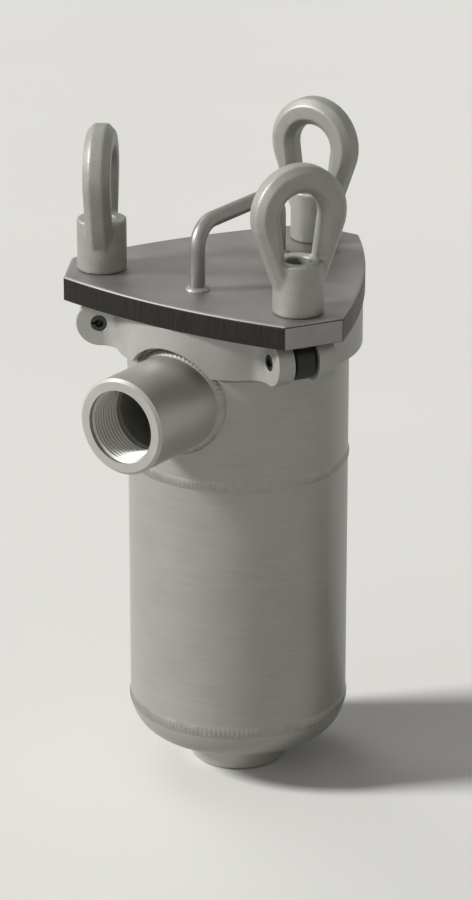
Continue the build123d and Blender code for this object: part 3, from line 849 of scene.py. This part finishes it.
class SewBag(bpy.types.Operator):
    """Sews the felt bag, with its side seam and its stitches, and puts the finish on its ring"""

    bl_idname = "filter.sew_bag"
    bl_label = "Filter bag"

    def execute(self, context):
        look = context.scene.basket_look
        cloth = felt("Polyester needle felt", look.felt_colour)
        low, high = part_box("filter_bag")
        top, foot = high.z, low.z
        radius, thick, corner = 43.4 * MM, 2.0 * MM, 12.0 * MM
        flat, bend = radius - corner, foot + corner        # where the floor ends and the wall starts
        floor_rows, corner_rows, wall_rows, around = 7, 7, 44, 180
        # floor, corner and wall, turned, then let slack
        chain = [(flat * i / floor_rows, foot) for i in range(floor_rows + 1)]
        for k in range(1, corner_rows + 1):
            lean = math.radians(12 * k)
            chain.append((flat + corner * math.sin(lean), bend - corner * math.cos(lean)))
        chain += [(radius, bend + (top - bend) * k / wall_rows) for k in range(1, wall_rows + 1)]
        bag = turned(chain, around, closed=False)
        for vertex in bag.data.vertices:
            x, y, z = vertex.co
            reach, turn, drop = math.hypot(x, y), math.atan2(y, x), (top - z) / (top - foot)
            if reach < 1e-6:
                continue
            # soft upright folds and a fine pinching, which fade out at the ring and at the floor's middle
            fold = (0.9 * math.sin(5 * turn + 0.7) + 0.6 * math.sin(9 * turn + 2 * drop)
                    + 0.5 * math.sin(14 * turn - 3 * drop))
            dent = (fold - 2.0) * 0.55 * MM * min(1.0, drop * 4)
            pinch = noise.noise(vertex.co * 70) * 0.7 * MM * min(1.0, drop * 5)
            scale = max(0.0, reach + (dent + pinch) * min(1.0, reach / flat)) / reach
            # the floor is raised a little, in three low waves
            wave = 0.6 * MM * math.sin(3 * turn) * reach / radius + 0.8 * MM if drop > 0.95 else 0.0
            vertex.co = (x * scale, y * scale, z + wave)
        modify(bag, "SOLIDIFY", thickness=thick, offset=-1.0)
        smooth(bag, 60)
        finish(bag, "felt_bag", BASKET, cloth, ["filter_bag"])
        spring = metal(
            "Spring steel ring", look.ring_colour, metallic=0.7, rough=0.35, mottle=10, grain=0.7, depth=0.02,
        )
        paint(spring, "bag_ring")
        # side seam: the overlapped felt inside the wall, on the side away from the inlet
        inner, seam_turn, seam_width, seam_height = radius - thick, math.radians(125), 9 * MM, 1.5 * MM
        seam_length, waves, wave_height = top - bend - 7 * MM, 14, 0.2 * MM
        nothing()
        bpy.ops.mesh.primitive_grid_add(x_subdivisions=8, y_subdivisions=60, size=1)
        seam = bpy.context.object
        for vertex in seam.data.vertices:
            across, up = vertex.co.x, vertex.co.y + 0.5
            turn = seam_turn + across * seam_width / inner
            crown = 1 - (2 * abs(across)) ** 6
            pucker = abs(math.sin(math.tau * up * waves)) * wave_height
            reach = inner + 0.2 * MM - (seam_height + pucker) * crown
            vertex.co = (reach * math.cos(turn), reach * math.sin(turn), bend + up * seam_length)
        modify(seam, "SOLIDIFY", thickness=0.8 * MM, offset=0.0)
        smooth(seam, 60)
        finish(seam, "bag_seam", BASKET, cloth)
        # stitches: a row round the mouth and two down the seam, each a short thread sunk at its ends
        yarn = felt("Polyester sewing thread", look.thread_colour)
        yarn_radius, long, step = 0.32 * MM, 3.0 * MM, 3.6 * MM
        nothing()
        bpy.ops.mesh.primitive_cylinder_add(vertices=6, radius=yarn_radius, depth=long, end_fill_type="NGON")
        stitch = bpy.context.object
        edit_all(stitch, "EDGE")
        bpy.ops.mesh.subdivide(number_cuts=2)
        leave()
        for vertex in stitch.data.vertices:
            lift = math.cos(math.pi * vertex.co.z / (3.2 * MM))
            vertex.co.x = vertex.co.x * (0.4 + 0.6 * lift) - 0.25 * MM * (1 - lift)
            vertex.co.y *= 0.4 + 0.6 * lift
        level, upright = Matrix.Rotation(math.radians(90), 4, "X"), Matrix.Identity(4)
        count = round(math.tau * inner / step)
        places = [(math.tau * i / count, top - 9.5 * MM, level, inner - 0.5 * MM) for i in range(count)]
        length = top - bend - 12 * MM
        count = round(length / step)
        for side in (-1, 1):
            turn = seam_turn + side * 2.4 * MM / inner
            places += [(turn, bend + 2 * MM + length * i / count, upright, inner - 2.0 * MM)
                       for i in range(count)]
        stitches = []
        for turn, height, lay, reach in places:
            copy = stitch.copy()
            copy.data = stitch.data.copy()
            context.collection.objects.link(copy)
            inwards = Matrix.Translation((reach, 0, height)) @ Matrix.Rotation(math.pi, 4, "Z")
            move(copy, Matrix.Rotation(turn, 4, "Z") @ inwards @ lay)
            stitches.append(copy)
        bpy.data.objects.remove(stitch, do_unlink=True)
        sewing = joined(stitches)
        smooth(sewing, 60)
        finish(sewing, "bag_stitches", BASKET, yarn)
        return {"FINISHED"}


class DressCover(bpy.types.Operator):
    """Rounds the cover plate's edges and puts the finishes on the cover and its handle, with painted shade on
    the plate's side faces and painted light on its corner facets
    """

    bl_idname = "filter.dress_cover"
    bl_label = "Cover"

    def execute(self, context):
        look = context.scene.cover_look
        # the plate's side faces are painted dark, as painted shade
        rolled = plate_metal("Rolled stainless plate", look.plate_colour, look.shaded_edge_colour)
        rounding = 0.5 * MM
        finish(soft_copy("cover_plate", rounding), "cover", COVER, rolled, ["cover_plate"])
        bar = metal(
            "Bent round bar", look.bar_colour, metallic=0.65, rough=0.4, mottle=14, grain=0.8,
            depth=0.04, contrast=0.12,
        )
        paint(bar, "cover_handle")
        return {"FINISHED"}


class CastNuts(bpy.types.Operator):
    """Casts the three eye nuts with soft edges"""

    bl_idname = "filter.cast_nuts"
    bl_label = "Eye nuts"

    def execute(self, context):
        look = context.scene.cover_look
        cast = metal(
            "Zinc-plated iron casting", look.nut_colour, metallic=0.4, rough=0.5, mottle=8, grain=0.9,
            depth=0.12, contrast=0.13, worn=0.3,
        )
        for number in NUMBERS:
            node = f"eye_nut_{number}"
            nut = soft_copy(node, 0.2 * MM, 1)
            modify(nut, "REMESH", mode="VOXEL", voxel_size=0.7 * MM, adaptivity=0.0)
            modify(nut, "SMOOTH", factor=0.5, iterations=7)
            smooth(nut, 60)
            finish(nut, f"cast_nut_{number}", node, cast, [node])
        return {"FINISHED"}


class SetStage(bpy.types.Operator):
    """Lays the floor and sets the camera and the lamps"""

    bl_idname = "filter.set_stage"
    bl_label = "Stage"

    def execute(self, context):
        look = context.scene.stage_look
        low, high = cad_low, cad_high
        target = Vector(((low.x + high.x) / 2, -2 * MM, (low.z + high.z) / 2))
        floor_radius, gap, distance = 60, 0.2 * MM, 1.95
        nothing()
        bpy.ops.mesh.primitive_circle_add(
            vertices=96, radius=floor_radius, fill_type="NGON", location=(0, 0, low.z - gap)
        )
        floor = bpy.context.object
        floor.name = "floor"
        settle(floor)
        # matt paper, pale where it is looked at and greyer for the light that it throws back
        pale = blank("Matt studio paper")
        place = add(pale, "TexCoord").outputs["Object"]
        cloud = clouds(pale, place, 400, 2.0)
        seen = ramp(pale, cloud, (0.3, shade(look.floor_colour, 0.98)), (0.7, shade(look.floor_colour, 1.02)))
        tint = mixed(pale, seen_rays(pale), shade(look.floor_colour, 0.4), seen)
        surface(pale, Roughness=0.9, Base_Color=tint)
        floor.data.materials.append(pale)
        away = Vector((
            math.sin(look.azimuth) * math.cos(look.elevation),
            -math.cos(look.azimuth) * math.cos(look.elevation),
            math.sin(look.elevation),
        ))
        right = Vector((math.cos(look.azimuth), math.sin(look.azimuth), 0))
        bpy.ops.object.camera_add(location=target + away * distance)
        camera = bpy.context.object
        camera.data.lens = look.lens
        camera.rotation_euler = (-away).to_track_quat("-Z", "Y").to_euler()
        context.scene.camera = camera
        near = Vector((away.x, away.y, 0)).normalized()
        for aim, softness, strength in (
            (-right * 1.0 + near * 0.12 + UP * 0.62, 12, 3.6),       # from the left
            (-right * 0.8 + near * 0.8 + UP * 0.3, 40, 0.3),         # from the front, to fill
            (-near * 0.9 + UP * 1.2 - right * 0.6, 30, 0.35),        # from behind, along the edges
        ):
            bpy.ops.object.light_add(type="SUN", location=target + aim)
            lamp = bpy.context.object
            lamp.data.angle, lamp.data.energy = math.radians(softness), strength
            lamp.rotation_euler = (-aim).to_track_quat("-Z", "Y").to_euler()
        world = bpy.data.worlds.new("Studio")
        context.scene.world = world
        world.use_nodes = True
        world.node_tree.nodes.clear()
        sky = add(world, "Background", {
            "Color": linear(look.floor_colour), "Strength": spread(world, seen_rays(world), 0.2, 0.9),
        })
        world.node_tree.links.new(sky.outputs[0], add(world, "OutputWorld").inputs["Surface"])
        context.scene.view_settings.view_transform = "Standard"
        return {"FINISHED"}


# ---------------------------------------------------------------- panel
STEPS = (DressHousing, LayWelds, FitBolts, WeaveBasket, SewBag, DressCover, CastNuts, SetStage)
LOOKS = (
    ("housing_look", HousingSettings), ("basket_look", BasketSettings),
    ("cover_look", CoverSettings), ("stage_look", StageSettings),
)


class FilterPanel(bpy.types.Panel):
    """Lists the settings and the steps"""

    bl_idname = "VIEW3D_PT_filter"
    bl_label = "Bag filter housing"
    bl_space_type = "VIEW_3D"
    bl_region_type = "UI"
    bl_category = "Filter"

    def draw(self, context):
        for name, settings in LOOKS:
            box = self.layout.box()
            for field in settings.__annotations__:
                box.prop(getattr(context.scene, name), field)
        for step in STEPS:
            self.layout.operator(step.bl_idname)


def register():
    for _, settings in LOOKS:
        bpy.utils.register_class(settings)
    for step in (*STEPS, FilterPanel):
        bpy.utils.register_class(step)
    for name, settings in LOOKS:
        setattr(bpy.types.Scene, name, bpy.props.PointerProperty(type=settings))


def unregister():
    for name, _ in LOOKS:
        delattr(bpy.types.Scene, name)
    for step in (FilterPanel, *reversed(STEPS)):
        bpy.utils.unregister_class(step)
    for _, settings in reversed(LOOKS):
        bpy.utils.unregister_class(settings)


def main():
    register()
    bpy.ops.filter.dress_housing()
    bpy.ops.filter.lay_welds()
    bpy.ops.filter.fit_bolts()
    bpy.ops.filter.weave_basket()
    bpy.ops.filter.sew_bag()
    bpy.ops.filter.dress_cover()
    bpy.ops.filter.cast_nuts()
    bpy.ops.filter.set_stage()


if __name__ == "__main__":
    main()
